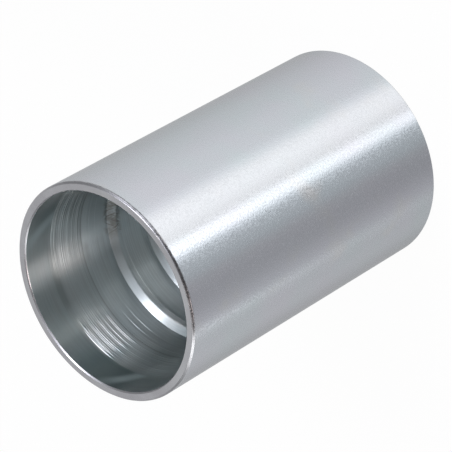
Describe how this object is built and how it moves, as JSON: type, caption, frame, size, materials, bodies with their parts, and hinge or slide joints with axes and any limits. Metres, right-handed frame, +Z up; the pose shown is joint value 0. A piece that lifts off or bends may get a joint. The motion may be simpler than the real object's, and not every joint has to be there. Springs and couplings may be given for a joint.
{
  "type": "crimp hose ferrule",
  "caption": "Turned steel sleeve with a tapered and toothed bore and a locking collar, crimped over a hose end to hold it on the stem of a fitting.",
  "frame": {"origin": "centre of the collar end face, on which the ferrule stands", "axes": "+Z up along the bore, out of the hose mouth"},
  "size_m": [0.057, 0.057, 0.0925],
  "materials": {
    "zinc_plated_steel": "satin zinc plating on turned steel"
  },
  "bodies": {
    "root": {"ferrule": "zinc_plated_steel"}
  },
  "joints": []
}
